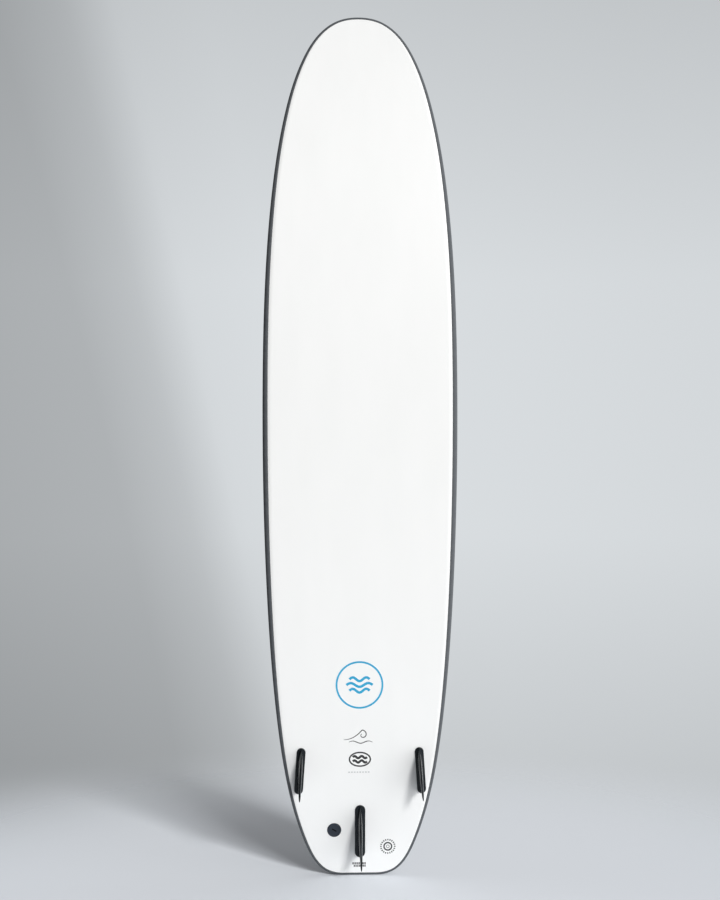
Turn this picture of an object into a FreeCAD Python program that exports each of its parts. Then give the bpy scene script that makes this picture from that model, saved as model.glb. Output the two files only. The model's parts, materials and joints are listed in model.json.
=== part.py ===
import FreeCAD, Part
import math
import os

V = FreeCAD.Vector

# Soft-top longboard. Millimetres. +Z runs from tail to nose, -Y is the bottom (fin) side, +Y the deck.
# The origin is the middle of the flat land that the board stands on at its tail.

# Board envelope
LENGTH = 2590.0
TAIL_LAND_HALF = 45.0
WIDE_POINT_Z = 1390.0
WIDE_HALF = 289.5
TAIL_12IN = (222.0, 305.0)
NOSE_12IN = (223.5, 2285.0)
AFT_STATIONS = [(102, 13), (134, 43), (164, 100), (198, 200), TAIL_12IN, (250, 500), (274, 800)]
FORE_STATIONS = [(285, 1700), (266.5, 2000), NOSE_12IN, (172, 2450), (106, 2550), (59, 2580)]

# Side profile
BOTTOM_LOW_Y = -53.0
TAIL_LIFT = 40.0
TAIL_LIFT_FROM = 900.0
TAIL_LIFT_POWER = 2.3
NOSE_LIFT = 128.0
NOSE_LIFT_FROM = 1150.0
NOSE_LIFT_POWER = 2.5
THICKNESS = 86.0
END_THINNING = 0.62
THINNING_POWER = 3.2
DECK_CROWN_RADIUS = 1500.0

# Rail section, each size at the ends and at mid length
BOTTOM_EDGE_R = (6.5, 13.0)
DECK_EDGE_R = (13.0, 32.0)
BAND_WIDTH = (7.5, 15.0)
DECK_LAP = (16.0, 45.0)
BAND_POWER = 1.3
RAIL_FOAM = 6.0
SEAM_GAP = (1.2, 0.4)

# Layers, from the bottom up
BOTTOM_SKIN_T = 1.2
BACKING_T = 3.0
LAMINATE_T = 0.8
DECK_SKIN_T = 6.0
GLUE = 0.2
STRINGER_T = 5.0
STRINGER_X = 112.0
CENTRE_STRINGER_START = 250.0

# Fins: place, flange, blade, and how the blade is turned
CENTRE_FIN = {"x": 0.0, "z": 135.0, "toe": 0.0, "cant": 0.0, "flange": (158.0, 30.5),
              "root": 148.0, "root_t": 14.5, "depth": 118.0, "hang": -1.0, "screws": 42.0}
SIDE_FIN = {"x": 179.0, "z": 318.0, "toe": 4.0, "cant": -2.0, "flange": (138.0, 26.0),
            "root": 128.0, "root_t": 13.5, "depth": 105.0, "hang": -8.0, "screws": 36.0}
TIP_CHORD = 13.0
TIP_ROUNDING = 16
FRONT_SWEEP = 1.8
REAR_SWEEP = 2.0
TRAILING_BOW = 0.09
BLADE_TAPER = 0.62
BLADE_FULLNESS = 0.18
BLADE_SHARES = [0.0, 0.2, 0.4, 0.6, 0.75, 0.86, 0.94, 0.98, 0.997]
SECTION_POINTS = 20
FLANGE_PROUD = 3.8
POCKET_DEPTH = 1.5
FLANGE_GAP = 0.3
FLANGE_EDGE_R = 1.5

# Fin fixings: M6 screws from the deck into brass inserts in the fin
SCREW_R = 3.0
SCREW_HEAD_R = 5.8
SCREW_HEAD_H = 4.2
SCREW_SLOT = (1.6, 2.0)
SCREW_REACH = 9.0
SCREW_EDGE_R = 1.2
SCREW_TIP = 0.6
INSERT_R = 4.2
INSERT_BORE_R = 3.05
INSERT_LENGTH = 12.0
DRILL_PAST_INSERT = 2.0
CUP_PROUD = 0.5
CUP_FLANGE_R = 13.0
CUP_FLANGE_T = 2.0
CUP_EDGE_R = 0.8
CUP_BARREL_R = 8.0
CUP_BARREL_L = 10.0
CUP_SLEEVE_R = 5.5
CUP_BORE_R = 3.3
CUP_HEAD_R = 6.1
CUP_HEAD_DEPTH = 6.5
HOLE_GAP = 0.1

# Leash plug: cup and cross bar in the deck, disc and stud on the bottom
LEASH_X = -77.0
LEASH_Z = 139.0
LEASH_FLANGE_R = 20.0
LEASH_FLANGE_T = 2.5
LEASH_FLANGE_EDGE_R = 1.2
LEASH_CUP_R = 14.0
LEASH_HOLLOW_R = 11.5
LEASH_CUP_DEPTH = 16.0
LEASH_FLOOR_T = 2.5
LEASH_TUBE_R = 8.0
LEASH_PIN_R = 2.25
LEASH_PIN_DEPTH = 5.5
LEASH_PIN_COVER = 0.8
LEASH_PIN_FIT = 0.02
LEASH_STUD_R = 5.0
LEASH_STUD_L = 26.0
LEASH_DISC_R = 21.0
LEASH_DISC_T = 3.0
LEASH_DISC_SUNK = 1.2
LEASH_DISC_EDGE_R = 1.4
LEASH_SLOT = (4.0, 1.8, 16.0)
LEASH_SLOT_TURN = 30.0

# Stations along the outline and across the sheets
STATION_COUNT = 18
STATION_CROWDING = 1.7
DECK_SEARCH_STEPS = 8
SHEET_ROWS = 14
SHEET_COLUMNS = 6

# Cutters reach past the board by these; edges are picked to within PICK
SPAN = 400.0
OVER = 60.0
BEYOND = 1.0
PICK = 0.01
ACROSS = V(1, 0, 0)
INWARD = V(0, 1, 0)
UP = V(0, 0, 1)


def bottom_y(z):
    """Height of the bottom on the centre line."""
    tail = max(0.0, (TAIL_LIFT_FROM - z) / TAIL_LIFT_FROM)
    nose = max(0.0, (z - NOSE_LIFT_FROM) / (LENGTH - NOSE_LIFT_FROM))
    return BOTTOM_LOW_Y + TAIL_LIFT * tail ** TAIL_LIFT_POWER + NOSE_LIFT * nose ** NOSE_LIFT_POWER


def deck_y(x, z):
    """Height of the domed deck."""
    thinning = END_THINNING * abs(2 * z / LENGTH - 1) ** THINNING_POWER
    return bottom_y(z) + THICKNESS * (1 - thinning) - x * x / (2 * DECK_CROWN_RADIUS)


def along_length(ends, middle, z):
    """A size that is smallest at tail and nose and largest at mid length."""
    share = math.sin(math.pi * min(max(z / LENGTH, 0.0), 1.0)) ** BAND_POWER
    return ends + (middle - ends) * share


def spline(points, start, end):
    curve = Part.BSplineCurve()
    curve.interpolate(Points=points, InitialTangent=start, FinalTangent=end, Scale=False)
    return curve


def outline_curves():
    """Port half of the outline: tail land to wide point, and wide point to nose."""
    land = (TAIL_LAND_HALF, 0)
    wide = (WIDE_HALF, WIDE_POINT_Z)
    aft = [V(x, 0, z) for x, z in [land] + AFT_STATIONS + [wide]]
    fore = [V(x, 0, z) for x, z in [wide] + FORE_STATIONS + [(0, LENGTH)]]
    return spline(aft, ACROSS, UP), spline(fore, UP, -ACROSS)


def stations(curve, dense_at_start):
    """Points along an outline curve, closer near the tail or nose, each with its way inwards."""
    first, last = curve.FirstParameter, curve.LastParameter
    found = []
    for step in range(STATION_COUNT + 1):
        share = step / STATION_COUNT
        share = share ** STATION_CROWDING if dense_at_start else 1 - (1 - share) ** STATION_CROWDING
        at = first + (last - first) * share
        run = curve.tangent(at)[0]
        found.append((curve.value(at), V(-run.z, 0, run.x)))
    return found


def moved_in(curve, inset, dense_at_start):
    return [point + inward * inset(point.z) for point, inward in stations(curve, dense_at_start)]


def prism(inset):
    """The outline, moved in by inset(z), as a tall block through the whole board."""
    aft, fore = outline_curves()
    aft = spline(moved_in(aft, inset, True), ACROSS, UP)
    fore = spline(moved_in(fore, inset, False), UP, -ACROSS)
    port = [aft.toShape(), fore.toShape()]
    starboard = [edge.mirror(V(0, 0, 0), ACROSS) for edge in port]
    start = port[0].Vertexes[0].Point
    land = Part.LineSegment(V(-start.x, 0, start.z), start).toShape()
    wire = Part.Wire(Part.__sortEdges__([land] + port + starboard))
    face = Part.Face(wire)
    face.translate(V(0, -SPAN, 0))
    return face.extrude(V(0, 2 * SPAN, 0))


def spread(low, high, count):
    return [low + (high - low) * step / count for step in range(count + 1)]


def bottom_sheet():
    line = Part.BSplineCurve()
    line.interpolate([V(-SPAN, bottom_y(z), z) for z in spread(-OVER, LENGTH + OVER, SHEET_ROWS)])
    return line.toShape().extrude(V(2 * SPAN, 0, 0))


def deck_sheet():
    heights = spread(-OVER, LENGTH + OVER, SHEET_ROWS)
    sheet = Part.BSplineSurface()
    sheet.interpolate([[V(x, deck_y(x, z), z) for z in heights] for x in spread(-SPAN, SPAN, SHEET_COLUMNS)])
    return sheet.toShape()


BOTTOM_SHEET = bottom_sheet()
DECK_SHEET = deck_sheet()


def below_bottom(offset):
    """All space on the bottom side of the bottom surface moved up by offset."""
    return BOTTOM_SHEET.translated(V(0, offset, 0)).extrude(V(0, -SPAN, 0))


def above_deck(offset):
    """All space on the deck side of the deck surface moved down by offset."""
    return DECK_SHEET.translated(V(0, -offset, 0)).extrude(V(0, SPAN, 0))


def rail_section(point, inward):
    """Closed outline of the rail foam, square to the edge of the board at one point."""
    z = point.z
    low_r = along_length(*BOTTOM_EDGE_R, z)
    high_r = along_length(*DECK_EDGE_R, z)
    band = along_length(*BAND_WIDTH, z)
    lap = along_length(*DECK_LAP, z)
    bottom_stack = BOTTOM_SKIN_T + BACKING_T + LAMINATE_T
    deck_stack = DECK_SKIN_T + LAMINATE_T
    low_turn = low_r * (1 - math.sqrt(0.5))
    high_turn = high_r * (1 - math.sqrt(0.5))
    corner = high_r - (high_r - RAIL_FOAM) * math.sqrt(0.5)

    def from_bottom(inset, rise):
        at = point + inward * inset
        return V(at.x, bottom_y(at.z) + rise, at.z)

    def from_deck(inset, drop):
        at = point + inward * inset
        return V(at.x, deck_y(at.x, at.z) - drop, at.z)

    outer = [
        from_bottom(band, 0), from_bottom(low_r, 0), from_bottom(low_turn, low_turn), from_bottom(0, low_r),
        from_deck(0, high_r), from_deck(high_turn, high_turn), from_deck(high_r, 0), from_deck(lap, 0),
    ]
    inner = [
        from_deck(lap, deck_stack), from_deck(high_r, deck_stack), from_deck(corner, corner),
        from_deck(RAIL_FOAM, high_r), from_bottom(RAIL_FOAM, bottom_stack), from_bottom(band, bottom_stack),
    ]
    edges = [
        Part.LineSegment(outer[0], outer[1]), Part.Arc(*outer[1:4]), Part.LineSegment(outer[3], outer[4]),
        Part.Arc(*outer[4:7]), Part.LineSegment(outer[6], outer[7]),
    ]
    path = [outer[7]] + inner + [outer[0]]
    edges += [Part.LineSegment(start, end) for start, end in zip(path, path[1:])]
    return Part.Wire([edge.toShape() for edge in edges])


def box_between(low, high):
    size = high - low
    return Part.makeBox(size.x, size.y, size.z, low)


def stadium(length, width, y_low, y_high):
    """A flat bar with round ends, long in Z, between two depths in Y."""
    r = width / 2
    half = length / 2 - r
    right = Part.LineSegment(V(r, 0, -half), V(r, 0, half)).toShape()
    top = Part.Arc(V(r, 0, half), V(0, 0, half + r), V(-r, 0, half)).toShape()
    left = Part.LineSegment(V(-r, 0, half), V(-r, 0, -half)).toShape()
    end = Part.Arc(V(-r, 0, -half), V(0, 0, -half - r), V(r, 0, -half)).toShape()
    face = Part.Face(Part.Wire([right, top, left, end]))
    face.translate(V(0, y_low, 0))
    return face.extrude(V(0, y_high - y_low, 0))


def rod(radius, y_low, y_high, z=0.0):
    """A cylinder along Y."""
    return Part.makeCylinder(radius, y_high - y_low, V(0, y_low, z), INWARD)


def rounded(solid, radius, y, outer_side):
    """The solid with the edges that lie flat at one depth rounded, on its +Y or its -Y end."""
    if outer_side:
        edges = [edge for edge in solid.Edges if edge.BoundBox.YMax < y + PICK]
    else:
        edges = [edge for edge in solid.Edges if edge.BoundBox.YMin > y - PICK]
    return solid.makeFillet(radius, edges)


def seat_placement(x, z, toe=0.0):
    """Local frame on the bottom: +Y straight into the board, +Z to the nose and in by the toe."""
    slope = (bottom_y(z + 1) - bottom_y(z - 1)) / 2
    tilt = FreeCAD.Rotation(ACROSS, -math.degrees(math.atan(slope)))
    turn = FreeCAD.Rotation(INWARD, -toe)
    return FreeCAD.Placement(V(x, bottom_y(z), z), tilt.multiply(turn))


def deck_height(seat, z):
    """How far along local +Y, from a point on the local Z axis, the deck is."""
    height = THICKNESS / 2
    for _ in range(DECK_SEARCH_STEPS):
        point = seat.multVec(V(0, height, z))
        height += deck_y(point.x, point.z) - point.y
    return height


def placed(shape, seat):
    moved = shape.copy()
    moved.Placement = seat.multiply(moved.Placement)
    return moved


def blade_section(fin, share):
    """One section of the blade, across it, at a share of its depth. The blade is swept to the tail."""
    tip = -fin["flange"][0] / 2 - fin["hang"]
    half = fin["root"] / 2
    front = half + (tip + TIP_CHORD - half) * share ** FRONT_SWEEP
    rear = -half + (tip + half) * share ** REAR_SWEEP + TRAILING_BOW * fin["root"] * math.sin(math.pi * share)
    tip_round = math.sqrt(1 - share ** TIP_ROUNDING)
    thickness = fin["root_t"] * (1 - BLADE_TAPER * share) * tip_round
    reach = (front - rear) / 2 * tip_round
    points = []
    for step in range(SECTION_POINTS):
        angle = 2 * math.pi * step / SECTION_POINTS
        across = thickness / 2 * math.sin(angle) * (1 + BLADE_FULLNESS * math.cos(angle))
        points.append(V(across, 0, rear + reach * (1 + math.cos(angle))))
    curve = Part.BSplineCurve()
    curve.interpolate(Points=points, PeriodicFlag=True)
    wire = Part.Wire(curve.toShape())
    wire.translate(V(0, -fin["depth"] * share, 0))
    return wire


def fin_blade(fin):
    """The blade alone, leaning outboard by its cant."""
    blade = Part.makeLoft([blade_section(fin, share) for share in BLADE_SHARES], True)
    blade.rotate(V(0, 0, 0), UP, fin["cant"])
    return blade


def fin_solid(fin):
    length, width = fin["flange"]
    flange = rounded(stadium(length, width, -FLANGE_PROUD, POCKET_DEPTH), FLANGE_EDGE_R, -FLANGE_PROUD, True)
    body = flange.fuse(fin_blade(fin)).removeSplitter()
    floor = POCKET_DEPTH - INSERT_LENGTH
    for z in screw_places(fin):
        body = body.cut(rod(INSERT_R, floor, POCKET_DEPTH, z))
        body = body.cut(rod(INSERT_BORE_R, floor - DRILL_PAST_INSERT, POCKET_DEPTH, z))
    return body


def screw_places(fin):
    return (-fin["screws"], fin["screws"])


def insert_solids(fin):
    solids = []
    for z in screw_places(fin):
        sleeve = rod(INSERT_R, POCKET_DEPTH - INSERT_LENGTH, POCKET_DEPTH, z)
        solids.append(sleeve.cut(rod(INSERT_BORE_R, -SPAN, SPAN, z)))
    return solids


def cup_solid(top, z):
    """Deck cup and its sleeve, from the deck down to the fin pocket."""
    cup = rounded(rod(CUP_FLANGE_R, top - CUP_FLANGE_T, top, z), CUP_EDGE_R, top, False)
    cup = cup.fuse(rod(CUP_BARREL_R, top - CUP_BARREL_L, top - CUP_FLANGE_T, z))
    cup = cup.fuse(rod(CUP_SLEEVE_R, POCKET_DEPTH, top - CUP_BARREL_L, z))
    cup = cup.cut(rod(CUP_HEAD_R, top - CUP_HEAD_DEPTH, top + BEYOND, z))
    return cup.cut(rod(CUP_BORE_R, 0, top, z))


def cup_room(top, z):
    """The hole in the board for one cup and sleeve."""
    room = rod(CUP_FLANGE_R + HOLE_GAP, top - CUP_FLANGE_T - HOLE_GAP, top + OVER, z)
    room = room.fuse(rod(CUP_BARREL_R + HOLE_GAP, top - CUP_BARREL_L - HOLE_GAP, top, z))
    return room.fuse(rod(CUP_SLEEVE_R + HOLE_GAP, -BEYOND, top, z))


def screw_solid(top, z):
    """Slotted pan-head screw seated in its cup, its end in the insert."""
    seat = top - CUP_HEAD_DEPTH
    crown = seat + SCREW_HEAD_H
    head = rounded(rod(SCREW_HEAD_R, seat, crown, z), SCREW_EDGE_R, crown, False)
    tip = POCKET_DEPTH - SCREW_REACH
    shank = rod(SCREW_R, tip, seat, z)
    shank = shank.makeChamfer(SCREW_TIP, [edge for edge in shank.Edges if edge.BoundBox.YMax < tip + PICK])
    width, depth = SCREW_SLOT
    slot = box_between(V(-SCREW_HEAD_R, crown - depth, z - width / 2),
                       V(SCREW_HEAD_R, crown + BEYOND, z + width / 2))
    return head.fuse(shank).cut(slot)


def fin_pocket(fin):
    """The shallow flat-floored recess that the fin flange sits in."""
    length, width = fin["flange"]
    return stadium(length + 2 * FLANGE_GAP, width + 2 * FLANGE_GAP, -OVER, POCKET_DEPTH)


def cup_top(seat, z=0.0):
    return deck_height(seat, z) + CUP_PROUD


def fin_hardware(name, fin):
    """Every solid that belongs to one fin, and the room they take in the board."""
    seat = seat_placement(fin["x"], fin["z"], fin["toe"])
    tops = [(cup_top(seat, z), z) for z in screw_places(fin)]
    nodes = {
        name + "_fin": [fin_solid(fin)],
        name + "_fin_inserts": insert_solids(fin),
        name + "_fin_screws": [screw_solid(top, z) for top, z in tops],
        name + "_fin_deck_cups": [cup_solid(top, z) for top, z in tops],
    }
    rooms = [fin_pocket(fin)] + [cup_room(top, z) for top, z in tops]
    for solids in nodes.values():
        solids[:] = [placed(solid, seat) for solid in solids]
    return nodes, [placed(room, seat) for room in rooms]


def mirrored(shapes):
    return [shape.mirror(V(0, 0, 0), ACROSS) for shape in shapes]


def all_fins():
    """Centre fin, port fin, and the starboard fin as the port one's mirror image."""
    nodes, rooms = fin_hardware("centre", CENTRE_FIN)
    port_nodes, port_rooms = fin_hardware("port", SIDE_FIN)
    nodes.update(port_nodes)
    for name, solids in port_nodes.items():
        nodes[name.replace("port", "starboard")] = mirrored(solids)
    return nodes, rooms + port_rooms + mirrored(port_rooms)


def leash_cup(top):
    """Deck cup with a flange, a hollow for the leash loop, and a tube for the stud."""
    floor = top - LEASH_CUP_DEPTH
    cup = rounded(rod(LEASH_FLANGE_R, top - LEASH_FLANGE_T, top), LEASH_FLANGE_EDGE_R, top, False)
    cup = cup.fuse(rod(LEASH_CUP_R, floor - LEASH_FLOOR_T, top - LEASH_FLANGE_T))
    cup = cup.fuse(rod(LEASH_TUBE_R, LEASH_DISC_SUNK, floor - LEASH_FLOOR_T))
    cup = cup.cut(rod(LEASH_HOLLOW_R, floor, top + BEYOND))
    cup = cup.cut(rod(LEASH_STUD_R + HOLE_GAP, 0, LEASH_STUD_L + BEYOND))
    return cup.cut(leash_pin(top, LEASH_PIN_R + LEASH_PIN_FIT))


def leash_pin(top, radius=LEASH_PIN_R):
    """Cross bar that the leash string is tied round."""
    reach = LEASH_CUP_R - LEASH_PIN_COVER
    start = V(-reach, top - LEASH_PIN_DEPTH, 0)
    return Part.makeCylinder(radius, 2 * reach, start, ACROSS)


def leash_disc():
    """Domed disc with a coin slot, and the stud that screws into the cup's tube."""
    low = LEASH_DISC_SUNK - LEASH_DISC_T
    disc = rounded(rod(LEASH_DISC_R, low, LEASH_DISC_SUNK), LEASH_DISC_EDGE_R, low, True)
    width, depth, length = LEASH_SLOT
    slot = box_between(V(-length / 2, low - BEYOND, -width / 2), V(length / 2, low + depth, width / 2))
    slot.rotate(V(0, 0, 0), INWARD, LEASH_SLOT_TURN)
    return disc.cut(slot).fuse(rod(LEASH_STUD_R, LEASH_DISC_SUNK, LEASH_STUD_L))


def leash_room(top):
    cup_low = top - LEASH_CUP_DEPTH - LEASH_FLOOR_T - HOLE_GAP
    room = rod(LEASH_DISC_R + HOLE_GAP, -OVER, LEASH_DISC_SUNK)
    room = room.fuse(rod(LEASH_TUBE_R + HOLE_GAP, 0, top))
    room = room.fuse(rod(LEASH_CUP_R + HOLE_GAP, cup_low, top + BEYOND))
    return room.fuse(rod(LEASH_FLANGE_R + HOLE_GAP, top - LEASH_FLANGE_T - HOLE_GAP, top + OVER))


def leash_hardware():
    seat = seat_placement(LEASH_X, LEASH_Z)
    top = cup_top(seat)
    nodes = {
        "leash_cup": [placed(leash_cup(top), seat)],
        "leash_pin": [placed(leash_pin(top), seat)],
        "leash_disc": [placed(leash_disc(), seat)],
    }
    return nodes, [placed(leash_room(top), seat)]


def rail_bands():
    """The foam rail, wrapped from the bottom edge over on to the deck, split at nose and tail."""
    aft, fore = outline_curves()
    sections = [rail_section(*station) for station in stations(aft, True) + stations(fore, False)[1:]]
    land = Part.Face(sections[0]).extrude(V(-TAIL_LAND_HALF, 0, 0))
    port = land.fuse(Part.makeLoft(sections, True))
    return port, port.mirror(V(0, 0, 0), ACROSS)


def core_and_stringers(rails):
    """Foam core cut lengthways into four strips by the stringers."""
    lift = BOTTOM_SKIN_T + BACKING_T + LAMINATE_T + GLUE
    drop = DECK_SKIN_T + LAMINATE_T + GLUE
    blank = prism(lambda z: RAIL_FOAM / 2)
    for cutter in (below_bottom(lift), above_deck(drop)) + rails:
        blank = max(blank.cut(cutter).Solids, key=lambda solid: solid.Volume)
    half = STRINGER_T / 2

    def strip(x_low, x_high, z_low=-OVER):
        return box_between(V(x_low, -SPAN, z_low), V(x_high, SPAN, LENGTH + OVER))

    stringer_x = {"stringer_port": STRINGER_X, "stringer_centre": 0.0, "stringer_starboard": -STRINGER_X}
    nodes = {}
    slots = []
    for name, x in stringer_x.items():
        start = CENTRE_STRINGER_START if x == 0 else -OVER
        slots.append(strip(x - half, x + half, start))
        nodes[name] = blank.common(slots[-1])
    spans = {
        "core_port_outer": (STRINGER_X, SPAN),
        "core_port_inner": (0, STRINGER_X),
        "core_starboard_inner": (-STRINGER_X, 0),
        "core_starboard_outer": (-SPAN, -STRINGER_X),
    }
    for name, (x_low, x_high) in spans.items():
        nodes[name] = blank.common(strip(x_low, x_high)).cut(slots)
    return nodes


def bottom_layers():
    """The bottom slick, its foam backing and the laminate, inside the rail band."""
    plan = prism(lambda z: along_length(*BAND_WIDTH, z) + along_length(*SEAM_GAP, z))
    nodes = {}
    low = 0.0
    for name, thickness in (("bottom_skin", BOTTOM_SKIN_T), ("bottom_backing", BACKING_T),
                            ("bottom_mesh", LAMINATE_T)):
        sheet = BOTTOM_SHEET.translated(V(0, low, 0))
        nodes[name] = plan.common(sheet.extrude(V(0, thickness, 0)))
        low += thickness
    return nodes


def deck_layers():
    """The deck foam and the laminate under it, inside the rail's lap."""
    plan = prism(lambda z: along_length(*DECK_LAP, z) + along_length(*SEAM_GAP, z))
    nodes = {}
    high = 0.0
    for name, thickness in (("deck_skin", DECK_SKIN_T), ("deck_mesh", LAMINATE_T)):
        sheet = DECK_SHEET.translated(V(0, -high, 0))
        nodes[name] = plan.common(sheet.extrude(V(0, -thickness, 0)))
        high += thickness
    return nodes


def main():
    rails = rail_bands()
    board = {"rail_band_port": rails[0], "rail_band_starboard": rails[1]}
    board.update(core_and_stringers(rails))
    board.update(bottom_layers())
    board.update(deck_layers())

    fittings, rooms = leash_hardware()
    fin_nodes, fin_rooms = all_fins()
    fittings.update(fin_nodes)
    for name, shape in board.items():
        fittings[name] = shape.cut(rooms + fin_rooms).Solids

    os.makedirs("parts", exist_ok=True)
    for name, shapes in fittings.items():
        solids = [solid for shape in shapes for solid in shape.Solids]
        node = solids[0] if len(solids) == 1 else Part.makeCompound(solids)
        node.exportStep("parts/" + name + ".step")
        box = node.BoundBox
        print(name, len(solids), node.isValid(), round(node.Volume / 1000, 2), "cm3",
              [round(v, 1) for v in (box.XMin, box.XMax, box.YMin, box.YMax, box.ZMin, box.ZMax)])


main()
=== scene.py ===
import json
import math

import bmesh
import bpy
import numpy as np
from mathutils import Matrix, Vector


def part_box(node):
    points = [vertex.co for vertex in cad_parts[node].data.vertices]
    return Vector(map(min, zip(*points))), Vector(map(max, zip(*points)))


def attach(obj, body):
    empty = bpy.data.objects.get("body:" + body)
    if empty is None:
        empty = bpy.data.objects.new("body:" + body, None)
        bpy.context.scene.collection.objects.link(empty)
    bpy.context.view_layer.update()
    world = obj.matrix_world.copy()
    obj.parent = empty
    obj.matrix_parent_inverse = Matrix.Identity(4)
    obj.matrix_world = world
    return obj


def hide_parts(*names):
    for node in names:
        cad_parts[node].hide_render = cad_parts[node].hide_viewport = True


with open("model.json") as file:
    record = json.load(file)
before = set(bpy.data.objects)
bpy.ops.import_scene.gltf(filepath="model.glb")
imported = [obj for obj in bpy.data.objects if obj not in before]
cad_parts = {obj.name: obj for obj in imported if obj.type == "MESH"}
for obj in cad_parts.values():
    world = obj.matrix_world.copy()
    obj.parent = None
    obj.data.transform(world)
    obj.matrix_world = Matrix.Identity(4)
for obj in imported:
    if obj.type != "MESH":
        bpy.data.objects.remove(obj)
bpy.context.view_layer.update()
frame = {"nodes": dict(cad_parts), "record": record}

# Board, in metres, as in the frame: +Z tail to nose, -Y out of the bottom, +Y out of the deck.
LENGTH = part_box("rail_band_port")[1].z
TAIL_LAND_HALF = 0.045
WIDE_HALF = 0.2895
WIDE_POINT_Z = 1.390
AFT_STATIONS = [(0.102, 0.013), (0.134, 0.043), (0.164, 0.100), (0.198, 0.200), (0.222, 0.305),
                (0.250, 0.500), (0.274, 0.800)]
FORE_STATIONS = [(0.285, 1.700), (0.2665, 2.000), (0.2235, 2.285), (0.172, 2.450), (0.106, 2.550),
                 (0.059, 2.580)]
BOTTOM_LOW_Y = -0.053
TAIL_LIFT, TAIL_LIFT_FROM, TAIL_LIFT_POWER = 0.040, 0.900, 2.3
NOSE_LIFT, NOSE_LIFT_FROM, NOSE_LIFT_POWER = 0.128, 1.150, 2.5
THICKNESS, END_THINNING, THINNING_POWER = 0.086, 0.62, 3.2
DECK_CROWN_RADIUS = 1.5

# Rail section and layers: sizes at the ends and at mid length
BOTTOM_EDGE_R = (0.0065, 0.0130)
DECK_EDGE_R = (0.0130, 0.0320)
BAND_WIDTH = (0.0075, 0.0150)
DECK_LAP = (0.0160, 0.0450)
BAND_POWER = 1.3
RAIL_FOAM = 0.006
BOTTOM_SKIN_T = 0.0012
BOTTOM_STACK = 0.0050
DECK_SKIN_T = 0.0060
DECK_STACK = 0.0068
SEAM_GAP = 0.0004
BOTTOM_SEAM_ROUND = 0.0003
DECK_SEAM_ROUND = 0.0012
SEAM_BEND = 0.3

# The rails' butt joints at tail and nose, and the places along the tail land where a section lies
BUTT_GAP, BUTT_SOFT, BUTT_SUNK = 0.0002, 0.0006, 0.0004
TAIL_LAND_STEPS = (0.010, 0.022, 0.034)

# Fins, in metres and degrees, in a local frame: +Y into the board, +Z to the nose
CENTRE_FIN = {"x": 0.0, "z": 0.135, "toe": 0.0, "cant": 0.0, "flange": (0.158, 0.0305),
              "root": 0.148, "root_t": 0.0145, "depth": 0.118, "hang": -0.001, "screws": 0.042}
SIDE_FIN = {"x": 0.179, "z": 0.318, "toe": 4.0, "cant": -2.0, "flange": (0.138, 0.026),
            "root": 0.128, "root_t": 0.0135, "depth": 0.105, "hang": -0.008, "screws": 0.036}
TIP_CHORD, TIP_ROUNDING = 0.013, 16
FRONT_SWEEP, REAR_SWEEP = 1.8, 2.0
TRAILING_BOW, BLADE_TAPER, BLADE_FULLNESS = 0.09, 0.56, 0.18
TIP_BLUNTNESS, BLUNTING_POWER = 0.70, 1.5
FLANGE_PROUD, FLANGE_EDGE_R, FLANGE_CHAMFER = 0.0038, 0.0015, 0.0003
ROOT_FILLET_R, FILLET_ALONG = 0.0042, 0.4
POCKET_DEPTH = 0.0015
FLANGE_GAP = 0.0003
INSERT_R, INSERT_LENGTH, INSERT_BORE_R = 0.0042, 0.012, 0.00305
CUP_FLANGE_R, CUP_FLANGE_T, CUP_BARREL_R = 0.013, 0.002, 0.008
CUP_PROUD = 0.0005
HOLE_GAP = 0.0001
EDGE_STEPS, FILLET_STEPS, BLADE_STEPS, TIP_STOPS_SHORT = 5, 8, 40, 0.3

# Leash plug: the face's points are (distance in from the edge, depth under the rim), and the slot
# is (width, depth, length), turned down to port by so many degrees
LEASH_X, LEASH_Z = -0.077, 0.139
LEASH_FLANGE_R, LEASH_FLANGE_T, LEASH_CUP_R = 0.020, 0.0025, 0.014
LEASH_DISC_R, LEASH_DISC_T, LEASH_DISC_SUNK = 0.021, 0.003, 0.0012
LEASH_EDGE_R, LEASH_EDGE_STEPS, LEASH_CHAMFER = 0.0014, 6, 0.0003
LEASH_FACE = [(0.0032, 0.0), (0.0040, 0.0005), (0.0046, 0.0006), (0.0090, 0.0003), (0.0150, 0.0002)]
LEASH_STUD_R, LEASH_STUD_L, LEASH_STUD_CHAMFER = 0.005, 0.026, 0.0006
LEASH_SLOT, LEASH_SLOT_TURN = (0.004, 0.0018, 0.016), 30
# Painted shade in the coin slot: a dark material on the faces from this far in from the face to
# this far past the slot's floor, out to this far beyond the slot's ends
SLOT_SHADE_FROM, SLOT_SHADE_PAST, SLOT_SHADE_REACH = 0.0005, 0.0001, 0.001

# Turned pieces end this far from their axis, and a bar's ends take points up to END_TURN degrees
POLE_R, END_TURN = 0.0005, 36

# How far cutters reach past what they cut: a little, and well clear of it
BEYOND, CLEAR = 0.002, 0.02
DISC_ROOM, POCKET_ROOM, SLOT_ROOM = (-0.01, 0.004), (-0.02, 0.004), 0.003

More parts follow.
